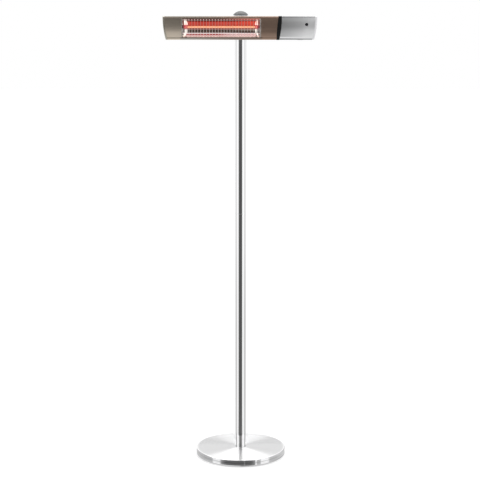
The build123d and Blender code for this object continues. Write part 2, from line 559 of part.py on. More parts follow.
ecap = sec(0) & between(right_end(-9.0), right_end())
ecap = tried(ecap, ecap.faces().sort_by(Axis.X)[-1].edges(), 3.0)
ecap -= sec(-5.0) & between(right_end(-12.0), right_end(-3.0))
sp = (sec(-COVER_WALL - 0.1) - sec(-5.0)) & between(right_end(-17.0), right_end(-8.9))
sp -= box(270, 345, HEAD_BACK - 8, HEAD_BACK + 5.2, 1871.5, 1941.0)
ecap += sp
for y in END_SCREW_Y:
    ecap -= countersunk(END_SCREW_X[1], y, 1.5, 0.06)
save("control_end_cap", ecap)
ends = []
for x in END_SCREW_X:
    for y in END_SCREW_Y:
        one = countersunk(x, y, 1.5)
        one -= box(x - 1.7, x + 1.7, y - 0.3, y + 0.3, HEAD_BOTTOM - 1, HEAD_BOTTOM + 0.9)
        one -= box(x - 0.3, x + 0.3, y - 1.7, y + 1.7, HEAD_BOTTOM - 1, HEAD_BOTTOM + 0.9)
        ends.append(one)
save("end_cap_screws", *ends)

# infrared receiver: smoked lens with a short tube behind it, and its small board
IF = FRONT_CY - FRONT_R      # the front at its most forward
lens = cyl(6.6, (IR_X, IF - 0.1, IR_Z), (0, 1, 0), 5.0)
lens = tried(lens, lens.edges().filter_by(lambda e: e.center().Y < IF), 0.7)
lens += cyl(8.5, (IR_X, IF + 3.5, IR_Z), (0, 1, 0), 1.5)
lens += cyl(8.5, (IR_X, IF + 4.9, IR_Z), (0, 1, 0), 7.1) - cyl(6.0, (IR_X, IF + 5.0, IR_Z), (0, 1, 0), 10)
save("ir_lens", lens)
irb = box(IR_X - 10, IR_X + 10, IF + 12.0, IF + 13.6, IR_Z - 9, IR_Z + 9) + box(IR_X - 2.8, IR_X + 2.8, IF + 7.0, IF + 12.1, IR_Z - 3, IR_Z + 3)
save("ir_module", irb)

# mains rocker switch in the underside
HB0 = HEAD_BOTTOM
sw = box(SWITCH_X - 11.5, SWITCH_X + 11.5, SWITCH_Y - 8.5, SWITCH_Y + 8.5, HB0 - 1.0, HB0)
sw = tried(sw, sw.edges().filter_by(Axis.Z), 1.5)
sw += box(SWITCH_X - 9.6, SWITCH_X + 9.6, SWITCH_Y - 6.5, SWITCH_Y + 6.5, HB0 - 0.1, HB0 + 16.0)
sw -= box(SWITCH_X - 7.8, SWITCH_X + 7.8, SWITCH_Y - 4.8, SWITCH_Y + 4.8, HB0 - 10, HB0 + 9.0)
for dx in (-6, 0, 6):       # tab terminals
    sw += box(SWITCH_X + dx - 0.4, SWITCH_X + dx + 0.4, SWITCH_Y - 2.4, SWITCH_Y + 2.4, HB0 + 15.9, HB0 + 23.0)
save("switch_body", sw)
RK_Z = HB0 + 3.0
rk = extrude(Plane.XZ.offset(-(SWITCH_Y + 4.6)) * make_face(Polyline(
    (-7.0, -2.8), (-3.4, -2.1), (0, -1.7), (3.4, -2.1), (7.0, -2.8), (7.0, 1.4), (2.6, 3.6), (-2.6, 3.6), (-7.0, 1.4), close=True)), 9.2)
rk = Pos(SWITCH_X, 0, RK_Z) * (Rot(0, 8.0, 0) * rk)
save("switch_rocker", rk)

# control board on stand-offs, its parts, and the terminal block
pcb = box(231, 291, -98.1, -96.5, 1880.5, 1932.5)
STAND = [(x, z) for x in (235, 287) for z in (1884.5, 1928.5)]
for x, z in STAND:
    pcb -= cyl(1.6, (x, -110, z), (0, 1, 0), 30)
save("control_board", pcb)
save("board_standoffs", *[cyl(3.0, (x, -96.5, z), (0, 1, 0), 10.0) for x, z in STAND])
parts = [box(242, 261, -113.6, -98.1, 1883.5, 1898.5), box(242, 261, -113.6, -98.1, 1901.5, 1916.5),
         box(264, 284, -118.1, -98.1, 1898.5, 1924.5), cyl(5.0, (272, -98.1, 1889.0), (0, -1, 0), 16.0),
         box(243, 253, -102.1, -98.1, 1920.5, 1926.5), box(233, 238.5, -108.1, -98.1, 1891.5, 1922.5)]
save("board_components", *parts)
tb = box(191, 225, -100.5, -86.5, 1914.5, 1930.5)
for i in range(3):
    tb -= cyl(2.4, (197.5 + 10.5 * i, -110, 1922.5), (0, 1, 0), 16)
save("terminal_block", tb)

# cable gland, with an open bore for the mains lead
gy0 = -84.5
gland = cyl(6.0, (GLAND_X, -95.0, GLAND_Z), (0, 1, 0), 10.55)
gland += hexagon(18.0, (GLAND_X, gy0, GLAND_Z), (0, 1, 0), 7.0)
gland += cyl(8.4, (GLAND_X, -77.6, GLAND_Z), (0, 1, 0), 4.0)
cone = Solid.make_cone(8.4, 6.2, 8.0, Plane(origin=(GLAND_X, -73.6, GLAND_Z), z_dir=(0, 1, 0)))
gland += cone
gland -= cyl(GLAND_BORE_R, (GLAND_X, -110, GLAND_Z), (0, 1, 0), 60)
save("cable_gland", gland)
save("gland_nut", hexagon(17.0, (GLAND_X, -91.5, GLAND_Z), (0, 1, 0), 4.9) - cyl(6.05, (GLAND_X, -100, GLAND_Z), (0, 1, 0), 20))
print("parts written:", len(os.listdir("parts")))
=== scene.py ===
import bpy
import bmesh
import json
import math
from mathutils import Matrix, Vector


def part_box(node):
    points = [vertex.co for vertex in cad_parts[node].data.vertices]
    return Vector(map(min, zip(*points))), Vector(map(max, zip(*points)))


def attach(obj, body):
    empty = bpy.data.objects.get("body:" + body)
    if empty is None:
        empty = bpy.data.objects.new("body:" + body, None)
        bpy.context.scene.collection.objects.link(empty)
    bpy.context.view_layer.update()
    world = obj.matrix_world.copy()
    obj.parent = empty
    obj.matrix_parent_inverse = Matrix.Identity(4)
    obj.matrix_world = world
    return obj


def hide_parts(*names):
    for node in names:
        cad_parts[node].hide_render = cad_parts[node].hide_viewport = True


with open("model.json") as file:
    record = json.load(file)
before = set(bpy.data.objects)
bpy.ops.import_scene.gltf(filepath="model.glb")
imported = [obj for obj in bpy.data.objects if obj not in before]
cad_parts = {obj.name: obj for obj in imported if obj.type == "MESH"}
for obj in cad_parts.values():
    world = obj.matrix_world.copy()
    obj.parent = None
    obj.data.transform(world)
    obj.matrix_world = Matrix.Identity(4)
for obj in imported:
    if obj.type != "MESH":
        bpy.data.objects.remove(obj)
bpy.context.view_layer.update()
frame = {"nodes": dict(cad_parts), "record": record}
NODES = frame["nodes"]
scene = bpy.context.scene


# ------------------------------------------------------------------ node helpers
class Shade:
    """One procedural material, built node by node."""

    def __init__(self, name):
        self.m = bpy.data.materials.new(name)
        self.m.use_nodes = True
        self.t = self.m.node_tree
        self.t.nodes.clear()
        self.out = self.t.nodes.new("ShaderNodeOutputMaterial")
        self.b = self.t.nodes.new("ShaderNodeBsdfPrincipled")
        self.t.links.new(self.b.outputs[0], self.out.inputs[0])
        self._coords = {}

    def set(self, **values):
        for k, v in values.items():
            self.b.inputs[k.replace("_", " ")].default_value = v
        return self

    def node(self, kind, inputs=None, **props):
        n = self.t.nodes.new(kind)
        for k, v in props.items():
            setattr(n, k, v)
        for k, v in (inputs or {}).items():
            self.put(n.inputs[k], v)
        return n

    def put(self, socket, v):
        if isinstance(v, bpy.types.NodeSocket):
            self.t.links.new(v, socket)
        else:
            socket.default_value = v

    def coord(self, scale=(1, 1, 1), loc=(0, 0, 0), rot=(0, 0, 0)):
        key = (tuple(scale), tuple(loc), tuple(rot))
        if key not in self._coords:
            c = self.node("ShaderNodeTexCoord")
            m = self.node("ShaderNodeMapping", {"Vector": c.outputs["Object"], "Scale": scale, "Location": loc, "Rotation": rot})
            self._coords[key] = m.outputs[0]
        return self._coords[key]

    def noise(self, scale=1.0, detail=3.0, rough=0.5, stretch=(1, 1, 1), distortion=0.0, loc=(0, 0, 0)):
        n = self.node("ShaderNodeTexNoise", {"Vector": self.coord(stretch, loc), "Scale": scale, "Detail": detail, "Roughness": rough,
                                             "Distortion": distortion})
        return n.outputs[0]

    def ramp(self, fac, stops, interp="LINEAR"):
        n = self.node("ShaderNodeValToRGB", {"Fac": fac})
        n.color_ramp.interpolation = interp
        e = n.color_ramp.elements
        while len(e) > 1:
            e.remove(e[-1])
        for i, (p, c) in enumerate(stops):
            c = c if len(c) == 4 else (*c, 1.0)
            if i == 0:
                e[0].position, e[0].color = p, c
            else:
                x = e.new(p)
                x.color = c
        return n.outputs[0]

    def grey(self, fac, stops, interp="LINEAR"):
        return self.ramp(fac, [(p, (v, v, v, 1)) for p, v in stops], interp)

    def math(self, op, a, b=0.0, c=None, clamp=False):
        n = self.node("ShaderNodeMath", operation=op, use_clamp=clamp)
        self.put(n.inputs[0], a)
        self.put(n.inputs[1], b)
        if c is not None:
            self.put(n.inputs[2], c)
        return n.outputs[0]

    def span(self, v, a, b, lo=0.0, hi=1.0, smooth=True):
        n = self.node("ShaderNodeMapRange", {"Value": v, "From Min": a, "From Max": b, "To Min": lo, "To Max": hi},
                      interpolation_type="SMOOTHSTEP" if smooth else "LINEAR")
        return n.outputs[0]

    def mix(self, fac, a, b, blend="MIX"):
        n = self.node("ShaderNodeMix", data_type="RGBA", blend_type=blend)
        self.put(n.inputs[0], fac)
        self.put(n.inputs[6], a if isinstance(a, bpy.types.NodeSocket) else (*a[:3], 1.0))
        self.put(n.inputs[7], b if isinstance(b, bpy.types.NodeSocket) else (*b[:3], 1.0))
        return n.outputs[2]

    def axis(self, i, scale=(1, 1, 1)):
        s = self.node("ShaderNodeSeparateXYZ", {"Vector": self.coord(scale)})
        return s.outputs[i]

    def bump(self, height, strength=0.2, distance=0.001, normal=None):
        n = self.node("ShaderNodeBump", {"Height": height, "Strength": strength, "Distance": distance})
        if normal is not None:
            self.put(n.inputs["Normal"], normal)
        return n.outputs[0]


def tint(c, k):
    return tuple(min(1.0, v * k) for v in c)


def brushed(name, color, rough, grain, aniso=0.0, tangent=None, grain_scale=900.0, tone=0.06, bump=0.05, rough_var=0.06, rotation=0.0,
            scratch=0.0, smudge=0.06):
    """Metal with fine parallel brush lines. grain holds the stretch of the noise along X, Y and Z."""
    s = Shade(name)
    lines = s.noise(grain_scale, 2.0, 0.6, grain)
    broad = s.noise(14.0, 3.0, 0.55, tuple(0.25 + 0.75 * g for g in grain), loc=(3.1, 1.7, 0.4))
    base = s.mix(s.span(lines, 0.3, 0.7), tint(color, 1 - tone), tint(color, 1 + tone))
    base = s.mix(s.span(broad, 0.35, 0.7, 0.0, 0.35), base, tint(color, 1 - 1.5 * tone))
    if scratch:
        deep = s.noise(grain_scale * 0.35, 1.0, 0.4, tuple(g * 0.35 if g < 0.2 else g for g in grain), loc=(0.7, 5.2, 2.9))
        base = s.mix(s.span(deep, 0.66, 0.74, 0.0, scratch), base, tint(color, 0.55))
    film = s.noise(5.0, 4.0, 0.6, loc=(8.0, 3.0, 1.0))
    s.set(Metallic=1.0, Anisotropic=aniso, Anisotropic_Rotation=rotation)
    s.put(s.b.inputs["Base Color"], base)
    r = s.span(lines, 0.2, 0.8, max(0.02, rough - rough_var), rough + rough_var, smooth=False)
    r = s.math("ADD", r, s.span(film, 0.45, 0.75, 0.0, smudge))
    s.put(s.b.inputs["Roughness"], r)
    s.put(s.b.inputs["Normal"], s.bump(lines, bump, 0.0002))
    if tangent is not None:
        t = s.node("ShaderNodeTangent", direction_type="RADIAL", axis=tangent)
        s.put(s.b.inputs["Tangent"], t.outputs[0])
    s.base = base
    s.lines = lines
    return s


def plastic(name, color, rough, grain=1200.0, bump=0.15, tone=0.08, coat=0.0, spec=0.5, rough_var=0.05, dust=0.0, metallic=0.0):
    """Moulded or painted surface: fine moulding grain, slow tone changes and a little dust on what faces up."""
    s = Shade(name)
    fine = s.noise(grain, 2.0, 0.6)
    broad = s.noise(30.0, 3.0, 0.5, loc=(1.3, 0.2, 2.2))
    speck = s.noise(grain * 0.6, 1.0, 0.5, loc=(4.0, 1.1, 0.3))
    base = s.mix(s.span(broad, 0.3, 0.7), tint(color, 1 - tone), tint(color, 1 + tone))
    base = s.mix(s.span(speck, 0.5, 0.8, 0.0, 0.5), base, tint(color, 1 - 2 * tone))
    if dust:
        up = s.node("ShaderNodeSeparateXYZ", {"Vector": s.node("ShaderNodeNewGeometry").outputs["Normal"]}).outputs[2]
        settled = s.math("MULTIPLY", s.span(up, 0.5, 1.0), s.span(broad, 0.35, 0.75, 0.0, dust))
        base = s.mix(settled, base, (0.5, 0.48, 0.44))
    s.put(s.b.inputs["Base Color"], base)
    s.put(s.b.inputs["Roughness"], s.span(broad, 0.3, 0.7, rough - rough_var, rough + rough_var, smooth=False))
    s.put(s.b.inputs["Normal"], s.bump(fine, bump, 0.0002))
    s.set(Coat_Weight=coat, Specular_IOR_Level=spec, Metallic=metallic)
    return s


WIN_X = -0.0817          # middle of the lamp window along the head
MAT = {}

# polished tube, drawn along its length
s = brushed("pole_steel", (0.93, 0.93, 0.935), 0.075, (1, 1, 0.015), tone=0.02, bump=0.015, rough_var=0.02, smudge=0.03)
# painted reflection: the front of the tube's foot is darkened in stripes for the dark lines it shows there, and they
# run on down to the base
px = s.node("ShaderNodeSeparateXYZ", {"Vector": s.coord()})
side = s.math("ABSOLUTE", px.outputs[0])
foot = s.math("MULTIPLY", s.span(px.outputs[2], 0.100, 0.088), s.span(px.outputs[1], 0.0, -0.010))
core = s.span(s.math("ABSOLUTE", s.math("ADD", px.outputs[0], 0.001)), 0.0088, 0.0040, 0.0, 0.60)
edge = s.math("MULTIPLY", s.span(side, 0.0150, 0.0175), s.span(side, 0.0226, 0.0204, 0.0, 0.62))
foot_painted_reflection = s.math("SUBTRACT", 1.0, s.math("MULTIPLY", foot, s.math("MAXIMUM", core, edge)))
foot_painted_reflection = s.node("ShaderNodeCombineColor", {0: foot_painted_reflection, 1: foot_painted_reflection, 2: foot_painted_reflection}).outputs[0]
s.put(s.b.inputs["Base Color"], s.mix(1.0, s.base, foot_painted_reflection, "MULTIPLY"))
MAT["pole_steel"] = s

# spun cover: circular lathe lines round the pole's axis
s = Shade("base_steel")
sx = s.node("ShaderNodeSeparateXYZ", {"Vector": s.coord()})
rad = s.math("SQRT", s.math("ADD", s.math("MULTIPLY", sx.outputs[0], sx.outputs[0]), s.math("MULTIPLY", sx.outputs[1], sx.outputs[1])))
on_rim = s.span(rad, 0.1965, 0.1985)
ring_v = s.node("ShaderNodeCombineXYZ", {0: rad, 1: s.math("MULTIPLY", sx.outputs[2], 1.0), 2: 0.0}).outputs[0]
ring = s.node("ShaderNodeTexNoise", {"Vector": ring_v, "Scale": 1500.0, "Detail": 2.0, "Roughness": 0.6}).outputs[0]
ring_broad = s.node("ShaderNodeTexNoise", {"Vector": ring_v, "Scale": 160.0, "Detail": 2.0, "Roughness": 0.5}).outputs[0]
film = s.noise(7.0, 4.0, 0.6)
base = s.mix(s.span(ring, 0.3, 0.7), (0.90, 0.90, 0.905), (0.95, 0.95, 0.955))
base = s.mix(s.span(ring_broad, 0.4, 0.7, 0.0, 0.4), base, (0.87, 0.87, 0.88))
# painted highlight: the top is painted white towards the front
front_highlight = s.math("MULTIPLY", s.span(sx.outputs[1], 0.05, -0.13, 0.0, 1.0, smooth=False), s.span(rad, 0.1985, 0.1965))
base = s.mix(front_highlight, base, (1.0, 1.0, 1.0))
# painted shade: the base is darkened towards the back
base = s.mix(s.span(sx.outputs[1], 0.01, 0.05, 0.0, 0.5), base, (0.86, 0.86, 0.865))
# faint bands run round the rim
turn_v = s.node("ShaderNodeCombineXYZ", {0: s.math("MULTIPLY", sx.outputs[0], 3.0), 1: s.math("MULTIPLY", sx.outputs[1], 3.0), 2: s.math("MULTIPLY", sx.outputs[2], 260.0)}).outputs[0]
bands = s.node("ShaderNodeTexNoise", {"Vector": turn_v, "Scale": 1.0, "Detail": 2.0, "Roughness": 0.6}).outputs[0]
base = s.mix(s.math("MULTIPLY", on_rim, s.span(bands, 0.46, 0.62, 0.0, 0.85)), base, (0.56, 0.56, 0.57))
# painted shade: the lowest edge of the rim is darkened next to the floor
base = s.mix(s.span(sx.outputs[2], 0.0085, 0.0045, 0.0, 0.55), base, (0.38, 0.38, 0.385))
s.put(s.b.inputs["Base Color"], base)
r_top = s.math("ADD", s.span(ring, 0.2, 0.8, 0.275, 0.325, smooth=False), s.span(film, 0.5, 0.75, 0.0, 0.03))
r_top = s.math("SUBTRACT", r_top, s.span(sx.outputs[1], -0.05, 0.12, 0.0, 0.055))
r_rim = s.span(ring, 0.2, 0.8, 0.04, 0.06, smooth=False)
rr = s.node("ShaderNodeMix", {0: on_rim, 2: r_top, 3: r_rim}, data_type="FLOAT").outputs[0]
s.put(s.b.inputs["Roughness"], rr)
s.put(s.b.inputs["Normal"], s.bump(ring, 0.02, 0.0001))
tn = s.node("ShaderNodeTangent", direction_type="RADIAL", axis="Z")
s.put(s.b.inputs["Tangent"], tn.outputs[0])
s.set(Metallic=1.0, Anisotropic=1.0, Anisotropic_Rotation=0.25)
# painted highlight: emission keeps the rolled outer edge of the top bright all the way round
edge = s.math("MULTIPLY", s.span(rad, 0.1905, 0.1945), s.span(rad, 0.1985, 0.1970, 0.0, 0.24))
s.put(s.b.inputs["Emission Color"], s.node("ShaderNodeCombineColor", {0: edge, 1: edge, 2: edge}).outputs[0])
s.set(Emission_Strength=1.0)
MAT["base_steel"] = s

# folded shell: stainless steel brushed along the head, with a warm tint and painted shade that darken it towards the
# control side
s = brushed("head_steel", (0.92, 0.92, 0.92), 0.36, (0.012, 1, 1), aniso=0.6, tangent="X", tone=0.07, bump=0.04, scratch=0.35, rough_var=0.05)
along = s.node("ShaderNodeSeparateXYZ", {"Vector": s.coord()}).outputs[0]
warm_tint_and_shade = s.mix(s.span(along, -0.30, 0.06), (0.86, 0.75, 0.62), (0.62, 0.43, 0.33))
hy = s.node("ShaderNodeSeparateXYZ", {"Vector": s.coord()})
hz = s.span(hy.outputs[2], 1.857, 1.954, 0.0, 1.0, smooth=False)
# painted shading: lighter and darker bands by height stand in for reflections on the front, one set for each end of the
# shell
left_painted_shading = s.grey(hz, [(0.0, 0.84), (0.02, 0.80), (0.05, 0.68), (0.08, 0.66), (0.13, 0.84), (0.30, 0.90), (0.42, 0.77), (0.55, 0.69), (0.9, 0.52), (0.955, 0.62), (1.0, 0.66)])
right_painted_shading = s.grey(hz, [(0.0, 0.64), (0.08, 0.68), (0.13, 0.68), (0.24, 0.56), (0.35, 0.47), (0.50, 0.60), (0.92, 0.64), (0.96, 0.96), (1.0, 0.98)])
tone = s.mix(s.span(along, -0.26, 0.03), left_painted_shading, right_painted_shading)
# painted shade along the lower crease
crease_shade = s.math("MULTIPLY", s.span(hy.outputs[2], 1.8632, 1.8640), s.span(hy.outputs[2], 1.8680, 1.8668))
tone = s.mix(crease_shade, tone, s.mix(1.0, tone, (0.74, 0.74, 0.74), "MULTIPLY"))
near = s.span(s.math("ABSOLUTE", s.math("SUBTRACT", along, WIN_X)), 0.178, 0.162)
# painted shadow under the lamp window's lower lip
shade_below_window = s.math("MULTIPLY", near, s.span(hy.outputs[2], 1.8672, 1.8660))
tone = s.mix(shade_below_window, tone, s.mix(1.0, tone, (0.80, 0.87, 0.97), "MULTIPLY"))
# painted shade: a dark band at the crease under the window
shade_under_lip = s.math("MULTIPLY", near, s.span(hy.outputs[2], 1.8632, 1.8642))
tone = s.mix(s.math("MULTIPLY", shade_under_lip, s.span(hy.outputs[2], 1.8680, 1.8670)), tone, s.mix(1.0, tone, (0.40, 0.40, 0.40), "MULTIPLY"))
# painted shade: the top edge of the shell is darkened, most at the left
top_edge_shade = s.math("MULTIPLY", s.span(hy.outputs[1], -0.157, -0.162), s.span(hy.outputs[2], 1.9505, 1.9525))
top_edge_shade_level = s.span(along, -0.15, 0.03, 0.26, 0.40)
tone = s.mix(top_edge_shade, tone, s.mix(1.0, tone, s.node("ShaderNodeCombineColor", {0: top_edge_shade_level, 1: top_edge_shade_level, 2: top_edge_shade_level}).outputs[0], "MULTIPLY"))
face = s.mix(1.0, s.mix(1.0, warm_tint_and_shade, tone, "MULTIPLY"), (1.35, 1.35, 1.35), "MULTIPLY")
# the top, underside and back are plain steel, painted darker along the top edge; only the convex front carries the warm
# tint and the painted shading
plain = s.mix(top_edge_shade, (0.60, 0.585, 0.56), (0.20, 0.19, 0.18))
out_y = s.node("ShaderNodeSeparateXYZ", {"Vector": s.node("ShaderNodeTexCoord").outputs["Normal"]}).outputs[1]
face = s.mix(s.span(out_y, -0.08, -0.30), plain, face)
s.put(s.b.inputs["Base Color"], s.mix(1.0, s.base, face, "MULTIPLY"))
MAT["head_steel"] = s
s = brushed("cap_grey", (0.60, 0.56, 0.48), 0.38, (0.03, 1, 1), tone=0.06, scratch=0.2)
MAT["cap_grey"] = s
s = brushed("frame_steel", (0.70, 0.66, 0.60), 0.26, (0.05, 1, 1), tone=0.06)
fx = s.node("ShaderNodeSeparateXYZ", {"Vector": s.coord()})
from_mid = s.math("SUBTRACT", fx.outputs[0], WIN_X)
ends = s.math("MAXIMUM", s.span(from_mid, 0.1614, 0.1624), s.span(from_mid, -0.1632, -0.1642))
# painted shade darkens the frame, and painted light brightens its ends, more above than below
s.put(s.b.inputs["Base Color"], s.mix(ends, s.mix(1.0, s.base, (0.42, 0.34, 0.30), "MULTIPLY"), s.mix(s.span(fx.outputs[2], 1.8980, 1.8840), (0.86, 0.80, 0.75), (0.50, 0.46, 0.42))))
s.put(s.b.inputs["Metallic"], s.span(ends, 0.0, 1.0, 1.0, 0.86, smooth=False))
# painted highlight: emission along the window's lower lip
lip_highlight = s.math("MULTIPLY", s.span(fx.outputs[2], 1.8678, 1.8688), s.span(fx.outputs[2], 1.8716, 1.8706))
lip_highlight = s.math("MULTIPLY", lip_highlight, s.span(s.noise(260.0, 2.0, 0.5, (1, 0.1, 0.1)), 0.2, 0.8, 0.55, 1.0))
far = s.math("ABSOLUTE", from_mid)
lip_highlight = s.math("MULTIPLY", lip_highlight, s.math("MAXIMUM", s.span(far, 0.1455, 0.1420), s.math("MULTIPLY", s.span(far, 0.1500, 0.1520), s.span(far, 0.1610, 0.1595))))
# painted lamp glow: red emission on the frame's upper edge, stronger to the right
over = s.math("MULTIPLY", s.span(fx.outputs[2], 1.9408, 1.9416), s.span(ends, 1.0, 0.0))
over = s.mix(over, (0, 0, 0), s.mix(s.span(fx.outputs[0], -0.10, 0.02), (0.06, 0.03, 0.025), (0.38, 0.14, 0.11)))
s.put(s.b.inputs["Emission Color"], s.mix(1.0, over, s.mix(lip_highlight, (0, 0, 0), (1.55, 1.12, 1.02)), "ADD"))
s.set(Emission_Strength=1.0)
MAT["frame_steel"] = s
MAT["back_steel"] = brushed("back_steel", (0.60, 0.59, 0.57), 0.38, (0.03, 1, 1), tone=0.06, scratch=0.2)
MAT["bracket_steel"] = plastic("bracket_steel", (0.13, 0.135, 0.14), 0.42, grain=500, bump=0.3, dust=0.1)
MAT["zinc_steel"] = brushed("zinc_steel", (0.74, 0.75, 0.77), 0.26, (1, 1, 1), grain_scale=300, tone=0.08, smudge=0.15)
MAT["black_steel"] = plastic("black_steel", (0.022, 0.022, 0.022), 0.32, grain=700, bump=0.1)
MAT["cast_iron"] = plastic("cast_iron", (0.035, 0.035, 0.037), 0.6, grain=220, bump=0.8, tone=0.2)
MAT["cast_alloy"] = plastic("cast_alloy", (0.46, 0.46, 0.465), 0.38, grain=500, bump=0.3, tone=0.06, metallic=0.35, dust=0.1)
MAT["grey_plastic"] = plastic("grey_plastic", (0.19, 0.19, 0.192), 0.36, dust=0.06)
# a painted highlight makes the hub's top edge bright, and painted shade darkens the dome over it towards its rim, below
# a painted bright band at its foot
s = MAT["cast_alloy"]
body = s.b.inputs["Base Color"].links[0].from_socket
s.put(s.b.inputs["Base Color"], s.mix(s.span(s.axis(2), 1.9535, 1.9545), body, (0.64, 0.64, 0.645)))
s = plastic("dome_grey", (0.92, 0.92, 0.925), 0.36, tone=0.04)
body = s.b.inputs["Base Color"].links[0].from_socket
by_height = s.grey(s.span(s.axis(2), 1.957, 1.977, 0.0, 1.0, smooth=False), [(0.0, 0.95), (0.09, 0.90), (0.11, 0.09), (0.28, 0.10), (0.40, 0.145), (1.0, 0.165)])
s.put(s.b.inputs["Base Color"], s.mix(1.0, body, by_height, "MULTIPLY"))
MAT["dome_grey"] = s

# control housing: silver paint with fine flake over a moulded shell
s = Shade("silver_plastic")
flake = s.noise(2600.0, 1.0, 0.5)
slow = s.noise(9.0, 3.0, 0.5, loc=(2.0, 1.0, 4.0))
base = s.mix(s.span(flake, 0.35, 0.7), (0.78, 0.785, 0.79), (0.87, 0.875, 0.88))
base = s.mix(s.span(slow, 0.35, 0.75, 0.0, 0.2), base, (0.80, 0.805, 0.82))
sv = s.node("ShaderNodeSeparateXYZ", {"Vector": s.coord()})
low = sv.outputs[2]
# painted shade: darker towards the black band and towards the top
shade_toward_band = s.math("ADD", s.span(sv.outputs[0], 0.165, 0.300, smooth=False), s.span(low, 1.945, 1.865, 0.0, 0.25, smooth=False))
base = s.mix(1.0, base, s.grey(shade_toward_band, [(0.0, 0.50), (0.5, 0.70), (0.85, 0.896), (1.0, 1.0)]), "MULTIPLY")
# painted reflection: lighter and darker bands by height
painted_sheen = s.grey(s.span(low, 1.857, 1.954, 0.0, 1.0, smooth=False), [(0.0, 0.95), (0.09, 1.0), (0.2, 0.94), (0.4, 0.93), (0.57, 0.78), (0.72, 0.78), (0.83, 0.94), (0.92, 0.97), (0.97, 0.70)])
base = s.mix(1.0, base, s.mix(1.0, painted_sheen, (1.2, 1.2, 1.2), "MULTIPLY"), "MULTIPLY")
# painted highlight towards the far end, at mid height
far_end_highlight = s.math("MULTIPLY", s.span(sv.outputs[0], 0.252, 0.272), s.math("MULTIPLY", s.span(low, 1.8860, 1.8980), s.span(low, 1.9380, 1.9260)))
base = s.mix(far_end_highlight, base, s.mix(1.0, base, (1.085, 1.085, 1.085), "MULTIPLY"))
# painted shade: the top edge is darkened
top_edge_shade = s.math("MULTIPLY", s.span(sv.outputs[1], -0.157, -0.162), s.span(low, 1.9485, 1.9505))
base = s.mix(top_edge_shade, base, s.mix(1.0, base, (0.60, 0.60, 0.60), "MULTIPLY"))
# painted highlight: a white line along the lower crease
base = s.mix(s.math("MULTIPLY", s.span(low, 1.8640, 1.8650), s.span(low, 1.8692, 1.8680)), base, (1.0, 1.0, 1.0))
# painted shade: the turned-in lower edge and the underside below it are darkened
base = s.mix(s.span(low, 1.8640, 1.8626, 0.0, 0.50), base, (0.42, 0.42, 0.43))        # turned-in lower edge
base = s.mix(s.span(low, 1.8596, 1.8586, 0.0, 0.75), base, (0.12, 0.12, 0.125))
s.put(s.b.inputs["Base Color"], base)
s.put(s.b.inputs["Roughness"], s.span(flake, 0.2, 0.8, 0.32, 0.42, smooth=False))
s.put(s.b.inputs["Normal"], s.bump(flake, 0.05, 0.0001))
s.set(Metallic=0.75, Specular_IOR_Level=0.5, Coat_Weight=0.10, Coat_Roughness=0.25)
MAT["silver_plastic"] = s
s = plastic("silver_end", (0.72, 0.72, 0.73), 0.40, grain=2600.0, bump=0.05, tone=0.03, metallic=0.35)
MAT["silver_end"] = s

MAT["band_black"] = plastic("band_black", (0.007, 0.007, 0.007), 0.34, spec=0.22)
MAT["black_plastic"] = plastic("black_plastic", (0.018, 0.018, 0.019), 0.5, dust=0.05)
MAT["dark_plastic"] = plastic("dark_plastic", (0.035, 0.035, 0.037), 0.5, dust=0.05)
MAT["rocker_black"] = plastic("rocker_black", (0.014, 0.014, 0.014), 0.22)
MAT["rubber"] = plastic("rubber", (0.022, 0.022, 0.022), 0.75, grain=500, bump=0.4)
MAT["foam"] = plastic("foam", (0.08, 0.08, 0.08), 0.9, grain=300, bump=0.8, tone=0.2)
MAT["nylon"] = plastic("nylon", (0.72, 0.70, 0.64), 0.5)
MAT["brass"] = brushed("brass", (0.78, 0.60, 0.30), 0.25, (1, 1, 1), grain_scale=300)

# guard: bright plated wire carrying painted lamp light and highlights as emission, by height
def at(z):
    return (z - 1864.0) / 82.0


